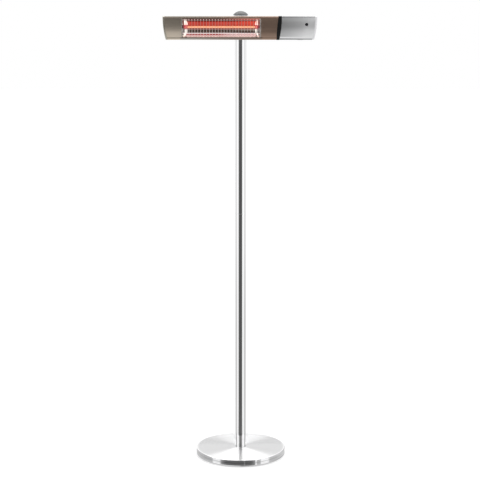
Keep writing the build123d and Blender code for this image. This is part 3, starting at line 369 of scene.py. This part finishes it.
def guard(name, stops, color, rough):
    s = Shade(name)
    n = s.noise(900.0, 2.0, 0.5)
    h = s.span(s.node("ShaderNodeSeparateXYZ", {"Vector": s.coord()}).outputs[2], 1.864, 1.946, 0.0, 1.0, smooth=False)
    glow = s.ramp(h, [(at(z), c) for z, c in stops])
    gx = s.node("ShaderNodeSeparateXYZ", {"Vector": s.coord()})
    # the masks below add painted shade (top right, the dark band near the ends, the ends, the tops) and a painted
    # highlight (lean) to that glow
    top_right = s.math("MULTIPLY", s.span(gx.outputs[0], -0.06, 0.03), s.math("MULTIPLY", s.span(gx.outputs[2], 1.8836, 1.8850), s.span(gx.outputs[2], 1.8930, 1.8910)))
    glow = s.mix(top_right, glow, s.mix(1.0, glow, (0.20, 0.20, 0.20), "MULTIPLY"))
    tops = s.span(gx.outputs[2], 1.9350, 1.9370)
    past = s.math("SUBTRACT", gx.outputs[0], WIN_X)
    cold = s.math("MULTIPLY", s.span(s.math("ABSOLUTE", past), 0.1530, 0.1550), s.math("MULTIPLY", s.span(gx.outputs[2], 1.9020, 1.9040), s.span(gx.outputs[2], 1.9150, 1.9135)))
    glow = s.mix(cold, glow, (0.16, 0.05, 0.045))
    lean = s.math("MULTIPLY", s.span(past, -0.1500, -0.1530), s.span(gx.outputs[2], 1.8790, 1.8770))
    glow = s.mix(lean, glow, (0.86, 0.76, 0.65))
    end = s.math("MULTIPLY", s.span(past, 0.1415, 0.1435), s.span(gx.outputs[2], 1.8840, 1.8825))
    glow = s.mix(end, glow, s.mix(1.0, glow, (0.55, 0.50, 0.46), "MULTIPLY"))
    glow = s.mix(s.math("MULTIPLY", tops, s.span(gx.outputs[0], -0.07, 0.0)), glow, s.mix(1.0, glow, (0.60, 0.42, 0.40), "MULTIPLY"))
    s.put(s.b.inputs["Base Color"], s.mix(s.span(n, 0.3, 0.7), tint(color, 0.92), tint(color, 1.08)))
    s.put(s.b.inputs["Roughness"], s.span(n, 0.2, 0.8, rough - 0.05, rough + 0.05, smooth=False))
    s.put(s.b.inputs["Normal"], s.bump(n, 0.03, 0.0001))
    s.put(s.b.inputs["Emission Color"], s.mix(s.span(n, 0.3, 0.7, 0.0, 0.3), glow, (0.75, 0.75, 0.75), "MULTIPLY"))
    s.set(Metallic=0.75, Emission_Strength=1.0)
    return s


MAT["wire_chrome"] = guard("wire_chrome", [
    (1866, (0.30, 0.26, 0.25)), (1868, (0.62, 0.50, 0.47)), (1871, (0.72, 0.48, 0.46)), (1876, (0.38, 0.22, 0.22)), (1880, (0.66, 0.56, 0.54)), (1885, (0.60, 0.52, 0.50)),
    (1889, (0.26, 0.22, 0.21)), (1894, (0.25, 0.215, 0.20)), (1898, (0.34, 0.27, 0.25)), (1903, (0.30, 0.18, 0.16)), (1906, (0.80, 0.33, 0.17)), (1912, (0.80, 0.33, 0.17)),
    (1914.5, (0.38, 0.08, 0.06)), (1932, (0.38, 0.08, 0.06)), (1936.5, (0.34, 0.13, 0.11)), (1940.2, (1.1, 0.92, 0.88))], (0.14, 0.13, 0.13), 0.3)
MAT["guard_rod"] = guard("guard_rod", [
    (1870, (0.62, 0.46, 0.44)), (1876, (0.62, 0.46, 0.44)), (1880, (1.0, 0.84, 0.82)), (1888, (1.0, 0.84, 0.82)), (1925, (0.03, 0.02, 0.02)),
    (1941, (0.02, 0.015, 0.015))], (0.45, 0.42, 0.41), 0.3)

# reflector: bright rolled aluminium, with painted lamp light as emission and painted shade in its colour, by height
s = brushed("reflector_aluminium", (0.80, 0.78, 0.77), 0.24, (0.03, 1, 1), tone=0.05, scratch=0.25)
h = s.node("ShaderNodeSeparateXYZ", {"Vector": s.coord()}).outputs[2]
hz = s.span(h, 1.864, 1.946, 0.0, 1.0, smooth=False)
glow = s.ramp(hz, [(at(1870), (0.10, 0.03, 0.03)), (at(1872.5), (0.36, 0.10, 0.10)), (at(1879.5), (0.36, 0.10, 0.10)), (at(1882.5), (0.05, 0.03, 0.03)),
                   (at(1889), (0.02, 0.03, 0.03)), (at(1897), (0.03, 0.035, 0.03)), (at(1899), (0.30, 0.14, 0.14)), (at(1902), (0.28, 0.13, 0.10)),
                   (at(1904), (0.16, 0.06, 0.04)), (at(1906), (0.24, 0.03, 0.02)), (at(1912), (0.55, 0.06, 0.03)), (at(1917), (0.44, 0.06, 0.04)), (at(1927), (0.46, 0.06, 0.045)),
                   (at(1931.5), (0.24, 0.03, 0.022)), (at(1934), (0.05, 0.015, 0.01)), (at(1941), (0.01, 0.0, 0.0))])
shade = s.ramp(hz, [(at(1870), (0.45, 0.40, 0.40)), (at(1880), (0.50, 0.40, 0.40)), (at(1884), (0.12, 0.11, 0.10)), (at(1897), (0.10, 0.09, 0.085)),
                    (at(1899.5), (0.45, 0.36, 0.36)), (at(1904), (0.40, 0.2, 0.2)), (at(1908), (0.35, 0.05, 0.04)), (at(1931), (0.40, 0.06, 0.05)),
                    (at(1934.5), (0.10, 0.07, 0.06)), (at(1942), (0.16, 0.12, 0.11))])
s.put(s.b.inputs["Base Color"], s.mix(1.0, s.base, shade, "MULTIPLY"))
streak = s.noise(160.0, 3.0, 0.6, (1, 0.05, 0.05), loc=(0.3, 0.1, 0.2))
rx = s.node("ShaderNodeSeparateXYZ", {"Vector": s.coord()})
# painted highlights and glow: a pale band low down, and deeper red and a lighter patch towards the right
pale = s.math("MULTIPLY", s.span(rx.outputs[0], -0.10, -0.03), s.math("MULTIPLY", s.span(rx.outputs[2], 1.8700, 1.8725), s.span(rx.outputs[2], 1.8835, 1.8805)))
glow = s.mix(pale, glow, s.mix(s.span(rx.outputs[2], 1.8745, 1.8765), (0.42, 0.27, 0.27), (0.64, 0.46, 0.45)))
to_right = s.span(rx.outputs[0], -0.06, 0.03)
deep = s.math("MULTIPLY", to_right, s.span(rx.outputs[2], 1.9300, 1.9340))
glow = s.mix(deep, glow, (0.30, 0.05, 0.04))
red = s.math("MULTIPLY", to_right, s.math("MULTIPLY", s.span(rx.outputs[2], 1.9160, 1.9190), s.span(rx.outputs[2], 1.9340, 1.9310)))
glow = s.mix(red, glow, (0.56, 0.065, 0.04))
right_glow = s.math("MULTIPLY", to_right, s.math("MULTIPLY", s.span(rx.outputs[2], 1.8935, 1.8955), s.span(rx.outputs[2], 1.9000, 1.8985)))
glow = s.mix(right_glow, glow, (0.24, 0.205, 0.18))
s.put(s.b.inputs["Emission Color"], s.mix(s.span(streak, 0.35, 0.7, 0.0, 0.35), glow, (0, 0, 0), "MULTIPLY"))
s.set(Emission_Strength=1.0)
MAT["reflector_aluminium"] = s

# end plates: painted lamp light as emission, narrowing and leaning outwards to the lower edge
s = brushed("end_plate", (0.86, 0.82, 0.76), 0.30, (1, 0.03, 1), tone=0.05)
ep = s.node("ShaderNodeSeparateXYZ", {"Vector": s.coord()})
u, h = s.math("ABSOLUTE", s.math("SUBTRACT", ep.outputs[0], WIN_X)), ep.outputs[2]
low = s.math("MAXIMUM", s.math("SUBTRACT", 1.886, h), 0.0)
high = s.math("MAXIMUM", s.math("SUBTRACT", h, 1.934), 0.0)
left = s.span(ep.outputs[0], WIN_X, WIN_X - 0.01)
step = s.span(h, 1.904, 1.900)
outer = s.math("SUBTRACT", s.math("ADD", s.span(left, 0.0, 1.0, 0.1546, 0.1556, smooth=False), s.math("MULTIPLY", low, 0.46)), s.math("ADD", u, s.math("MULTIPLY", step, s.span(left, 0.0, 1.0, 0.0030, 0.0018, smooth=False))))
lean = s.math("MULTIPLY", s.span(left, 0.0, 1.0, 1.0, 0.0, smooth=False), s.math("ADD", s.span(h, 1.8860, 1.8840, 0.0, -0.0080), s.span(step, 0.0, 1.0, -0.0010, 0.0040, smooth=False)))
lean = s.math("SUBTRACT", lean, s.math("MULTIPLY", left, s.math("MULTIPLY", step, 0.0032)))
inner = s.math("SUBTRACT", s.math("ADD", u, lean), s.math("ADD", 0.1405, s.math("ADD", s.math("MULTIPLY", low, 0.60), s.math("MULTIPLY", high, 0.15))))
# painted shade: a dark strip towards the plate's outer side, where the painted light does not reach
shaded_patch = s.math("MULTIPLY", s.span(outer, -0.0008, 0.0010), s.span(inner, -0.0012, 0.0012))
lit = s.ramp(s.span(h, 1.864, 1.946, 0.0, 1.0, smooth=False), [
    (at(1868), (0.80, 0.72, 0.64)), (at(1874), (0.92, 0.88, 0.79)), (at(1897), (1.0, 0.97, 0.90)), (at(1899.5), (0.80, 0.62, 0.58)),
    (at(1902), (0.20, 0.025, 0.045)), (at(1916.5), (0.20, 0.025, 0.045)), (at(1919.5), (0.92, 0.86, 0.78)), (at(1937), (1.0, 0.96, 0.88)), (at(1944), (0.85, 0.78, 0.72))])
lit = s.mix(s.math("MULTIPLY", s.span(left, 1.0, 0.0), s.span(h, 1.9200, 1.9260)), lit, s.mix(1.0, lit, (0.80, 0.74, 0.72), "MULTIPLY"))
lit = s.mix(s.math("MULTIPLY", left, s.span(h, 1.9200, 1.9260)), lit, s.mix(1.0, lit, (1.14, 1.14, 1.14), "MULTIPLY"))
uneven = s.span(s.noise(120.0, 3.0, 0.5), 0.35, 0.7, 1.0, 0.82)
lit = s.mix(shaded_patch, (0.012, 0.010, 0.010), s.mix(1.0, lit, s.node("ShaderNodeCombineColor", {0: uneven, 1: uneven, 2: uneven}).outputs[0], "MULTIPLY"))
s.put(s.b.inputs["Emission Color"], lit)
s.put(s.b.inputs["Base Color"], s.mix(shaded_patch, (0.10, 0.09, 0.085), s.base))
s.set(Emission_Strength=1.15)
MAT["end_plate"] = s

MAT["ceramic"] = plastic("ceramic", (0.78, 0.75, 0.68), 0.6, grain=400, bump=0.3)
MAT["ceramic_cap"] = plastic("ceramic_cap", (0.10, 0.045, 0.04), 0.6, grain=400, bump=0.3)
MAT["silicone"] = plastic("silicone", (0.35, 0.03, 0.02), 0.6)
MAT["smoked_lens"] = plastic("smoked_lens", (0.012, 0.012, 0.014), 0.10, coat=0.5)
MAT["board_green"] = plastic("board_green", (0.01, 0.09, 0.035), 0.35)
MAT["component_dark"] = plastic("component_dark", (0.02, 0.022, 0.03), 0.4)
MAT["terminal_white"] = plastic("terminal_white", (0.6, 0.59, 0.54), 0.5)

# lamp: ruby tube, orange-hot along the coil and ruby where it is cold
s = Shade("quartz_red")
off = s.math("ABSOLUTE", s.math("SUBTRACT", s.node("ShaderNodeSeparateXYZ", {"Vector": s.coord()}).outputs[0], WIN_X))
hot = s.span(off, 0.146, 0.138)
n = s.noise(90.0, 2.0, 0.5, (1, 0.2, 0.2))
s.put(s.b.inputs["Base Color"], s.mix(hot, (0.30, 0.015, 0.04), (0.28, 0.06, 0.035)))
tz = s.node("ShaderNodeSeparateXYZ", {"Vector": s.coord()}).outputs[2]
lit = s.mix(s.span(n, 0.3, 0.7), (0.80, 0.37, 0.20), (0.92, 0.47, 0.27))
lit = s.mix(s.span(tz, 1.9100, 1.9082, 0.0, 0.9), lit, (0.74, 0.52, 0.33))
away = s.math("ABSOLUTE", s.math("SUBTRACT", tz, 1.9095))
lit = s.mix(s.span(away, 0.0025, 0.0038), lit, (0.30, 0.045, 0.03))
s.put(s.b.inputs["Emission Color"], s.mix(hot, (0.34, 0.015, 0.05), lit))
s.put(s.b.inputs["Roughness"], s.span(n, 0.2, 0.8, 0.04, 0.08))
s.set(Emission_Strength=0.95, Alpha=0.75, IOR=1.46, Specular_IOR_Level=0.5, Coat_Weight=0.3, Coat_Roughness=0.05)
MAT["quartz_red"] = s
s = Shade("filament")
s.put(s.b.inputs["Base Color"], s.mix(s.noise(300, 2), (0.9, 0.4, 0.15), (1.0, 0.6, 0.3)))
s.put(s.b.inputs["Emission Color"], s.mix(s.span(s.noise(200.0, 2.0), 0.3, 0.7), (1.0, 0.72, 0.36), (1.0, 0.82, 0.5)))
s.set(Roughness=0.6, Emission_Strength=1.7)
MAT["filament"] = s

OWN = {"hub_dome_cap": "dome_grey", "lamp_caps": "ceramic_cap", "guard_rods": "guard_rod", "reflector_end_left": "end_plate", "reflector_end_right": "end_plate", "control_end_cap": "silver_end"}
for sub in frame["record"]["subparts"]:
    o = NODES[sub["node"]]
    m = MAT[OWN.get(sub["node"], sub["material_slot"])].m
    if not o.material_slots:
        o.data.materials.append(m)
    for ms in o.material_slots:
        ms.material = m

# ------------------------------------------------------------------ the lamp's coil
f_lo, f_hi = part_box("lamp_filament")
cy, cz = 0.5 * (f_lo[1] + f_hi[1]), 0.5 * (f_lo[2] + f_hi[2])
r_out = 0.5 * (f_hi[2] - f_lo[2])
WIRE, PITCH, STEPS, SIDES = 0.00042, 0.0021, 18, 7
r_coil = r_out - WIRE - 0.00002
x0, x1 = f_lo[0] + 0.0012, f_hi[0] - 0.0012
turns = int((x1 - x0) / PITCH)
bm = bmesh.new()
rings = []
count = turns * STEPS
for i in range(count + 1):
    a = 2 * math.pi * i / STEPS
    px = x0 + (x1 - x0) * i / count
    centre = Vector((px, cy + r_coil * math.cos(a), cz + r_coil * math.sin(a)))
    tan = Vector(((x1 - x0) / count, -r_coil * math.sin(a) * 2 * math.pi / STEPS, r_coil * math.cos(a) * 2 * math.pi / STEPS)).normalized()
    out = Vector((0, math.cos(a), math.sin(a)))
    side = tan.cross(out).normalized()
    rings.append([bm.verts.new(centre + WIRE * (math.cos(b) * out + math.sin(b) * side)) for b in (2 * math.pi * k / SIDES for k in range(SIDES))])
for r0, r1 in zip(rings, rings[1:]):
    for k in range(SIDES):
        bm.faces.new((r0[k], r0[(k + 1) % SIDES], r1[(k + 1) % SIDES], r1[k]))
bm.faces.new(list(reversed(rings[0])))
bm.faces.new(rings[-1])
bmesh.ops.recalc_face_normals(bm, faces=bm.faces)
me = bpy.data.meshes.new("filament_coil")
bm.to_mesh(me)
bm.free()
for poly in me.polygons:
    poly.use_smooth = True
coil = bpy.data.objects.new("filament_coil", me)
scene.collection.objects.link(coil)
me.materials.append(MAT["filament"].m)
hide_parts("lamp_filament")
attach(coil, "head")

# ------------------------------------------------------------------ stage
bpy.ops.mesh.primitive_plane_add(size=60, location=(0, 0, 0))
floor = bpy.context.object
floor.name = "floor"
s = Shade("floor_white")
s.put(s.b.inputs["Base Color"], s.mix(s.noise(0.6, 2), (0.93, 0.93, 0.93), (0.95, 0.95, 0.95)))
s.set(Roughness=0.9, Specular_IOR_Level=0.1, Emission_Color=(1, 1, 1, 1), Emission_Strength=0.16)
floor.data.materials.append(s.m)
floor.visible_glossy = False

world = bpy.data.worlds.new("studio")
scene.world = world
world.use_nodes = True
world.cycles.sampling_method = "NONE"
t = world.node_tree
t.nodes.clear()
W = Shade.__new__(Shade)
W.t = t
W._coords = {}
tc = W.node("ShaderNodeTexCoord")
sep = W.node("ShaderNodeSeparateXYZ", {"Vector": tc.outputs["Generated"]})
x, y, z = sep.outputs
az = W.math("DEGREES", W.math("ARCTAN2", x, W.math("MULTIPLY", y, -1.0)))      # 0 in front, +90 on the right, 180 behind
turn = W.math("DIVIDE", W.math("ADD", az, 180.0), 360.0)
el = W.math("DEGREES", W.math("ARCSINE", z))


def row(stops):
    return W.grey(turn, [((a + 180.0) / 360.0, v) for a, v in stops])


# level: what the upper pole and the head see
level = row([(-180, 0.98), (-148, 0.97), (-143, 0.62), (-132, 0.62), (-127, 0.97), (-112, 0.97), (-106, 0.74), (-84, 0.74), (-78, 0.98), (-46, 0.98),
             (-36, 0.11), (-20, 0.085), (16, 0.085), (27, 0.12), (35, 0.98), (72, 0.98), (80, 0.74), (104, 0.74), (110, 0.97), (127, 0.97),
             (132, 0.62), (143, 0.62), (148, 0.97), (180, 0.98)])
# a little down: what the lower pole sees
lower = row([(-180, 0.98), (-165, 0.94), (-150, 0.66), (-112, 0.80), (-106, 0.56), (-84, 0.56), (-76, 0.90), (-48, 0.94),
             (-38, 0.112), (-20, 0.088), (16, 0.088), (27, 0.122), (35, 0.94), (68, 0.90), (80, 0.56), (104, 0.56), (112, 0.80), (150, 0.66),
             (165, 0.94), (180, 0.98)])
# what the rim of the base sees
rim = row([(-180, 0.98), (-170, 0.96), (-163, 0.66), (-110, 0.50), (-80, 0.52), (-75, 0.97), (-57, 0.97), (-50, 0.15), (-20, 0.13), (8.9, 0.125),
           (9.6, 0.36), (10.6, 0.36), (11.3, 0.125), (34, 0.14), (37.5, 0.19), (39, 0.95), (41, 0.95), (43, 0.42), (52, 0.45), (55, 0.98), (76, 0.98),
           (82, 0.50), (110, 0.50), (163, 0.66), (170, 0.96), (180, 0.98)])
# far down: brighter to the left of the middle than to the right
down = row([(-180, 0.80), (-90, 0.78), (-50, 0.78), (-20, 0.74), (-3, 0.66), (3, 0.36), (20, 0.40), (50, 0.66), (90, 0.74), (180, 0.80)])
# up: what the top of the base and the head's upper edge see
up = row([(-180, 0.75), (-150, 0.76), (-125, 0.88), (-60, 0.93), (-34, 0.88), (-20, 0.18), (20, 0.18), (34, 0.88), (60, 0.93), (125, 0.88),
          (150, 0.76), (180, 0.75)])
pattern = W.mix(W.span(el, -7.0, -14.0), level, lower)
# the floor in front lightens the dark zone a little for the foot of the pole
near_floor = W.math("MULTIPLY", W.span(el, -16.6, -17.7), W.span(W.math("ABSOLUTE", az), 40.0, 30.0))
pattern = W.mix(1.0, pattern, W.mix(near_floor, (0, 0, 0), (0.034, 0.034, 0.034)), "ADD")
pattern = W.mix(W.span(el, -18.05, -18.35), pattern, rim)
pattern = W.mix(W.span(el, -21.0, -33.0), pattern, down)
pattern = W.mix(W.span(el, -1.4, 3.0), pattern, up)
pattern = W.mix(W.span(el, 42.0, 68.0), pattern, (0.97, 0.97, 0.97))
# the overhead light reaches further down behind the heater than in front of it
behind = W.math("MULTIPLY", W.span(el, 38.0, 54.0), W.span(W.math("ABSOLUTE", az), 80.0, 120.0))
pattern = W.mix(1.0, pattern, W.mix(behind, (0, 0, 0), (1.6, 1.6, 1.6)), "ADD")
fill = W.mix(W.span(el, -20.0, 60.0), (0.80, 0.80, 0.80), (1.12, 1.12, 1.12))
lp = W.node("ShaderNodeLightPath")
bg_cam = W.node("ShaderNodeBackground", {"Color": (1, 1, 1, 1), "Strength": 1.0})
bg_env = W.node("ShaderNodeBackground", {"Color": pattern, "Strength": 1.06})
bg_fill = W.node("ShaderNodeBackground", {"Color": fill, "Strength": 1.0})
mix_d = W.node("ShaderNodeMixShader", {0: lp.outputs["Is Diffuse Ray"]})
t.links.new(bg_env.outputs[0], mix_d.inputs[1])
t.links.new(bg_fill.outputs[0], mix_d.inputs[2])
mixs = W.node("ShaderNodeMixShader", {0: lp.outputs["Is Camera Ray"]})
t.links.new(mix_d.outputs[0], mixs.inputs[1])
t.links.new(bg_cam.outputs[0], mixs.inputs[2])
wo = W.node("ShaderNodeOutputWorld")
t.links.new(mixs.outputs[0], wo.inputs[0])

# soft box overhead
ld = bpy.data.lights.new("soft_top", "AREA")
ld.shape, ld.size, ld.size_y, ld.energy = "RECTANGLE", 4.0, 3.0, 45.0
lo_ = bpy.data.objects.new("soft_top", ld)
lo_.location = (0.8, -2.2, 4.6)
lo_.rotation_euler = (Vector((0, 0, 0.9)) - lo_.location).to_track_quat("-Z", "Y").to_euler()
lo_.visible_glossy = False
scene.collection.objects.link(lo_)

# ------------------------------------------------------------------ camera
cam_d = bpy.data.cameras.new("camera")
cam = bpy.data.objects.new("camera", cam_d)
scene.collection.objects.link(cam)
scene.camera = cam
cam_d.sensor_width = 36.0
cam_d.lens = 99.86
cam.location = (-0.00295, -5.79756, 1.95499)
cam.rotation_euler = (math.radians(90 - 9.549), 0, 0)
cam_d.clip_start, cam_d.clip_end = 0.1, 200.0

scene.view_settings.view_transform = "Standard"
scene.view_settings.look = "None"
scene.view_settings.exposure = 0.0
scene.view_settings.gamma = 1.0
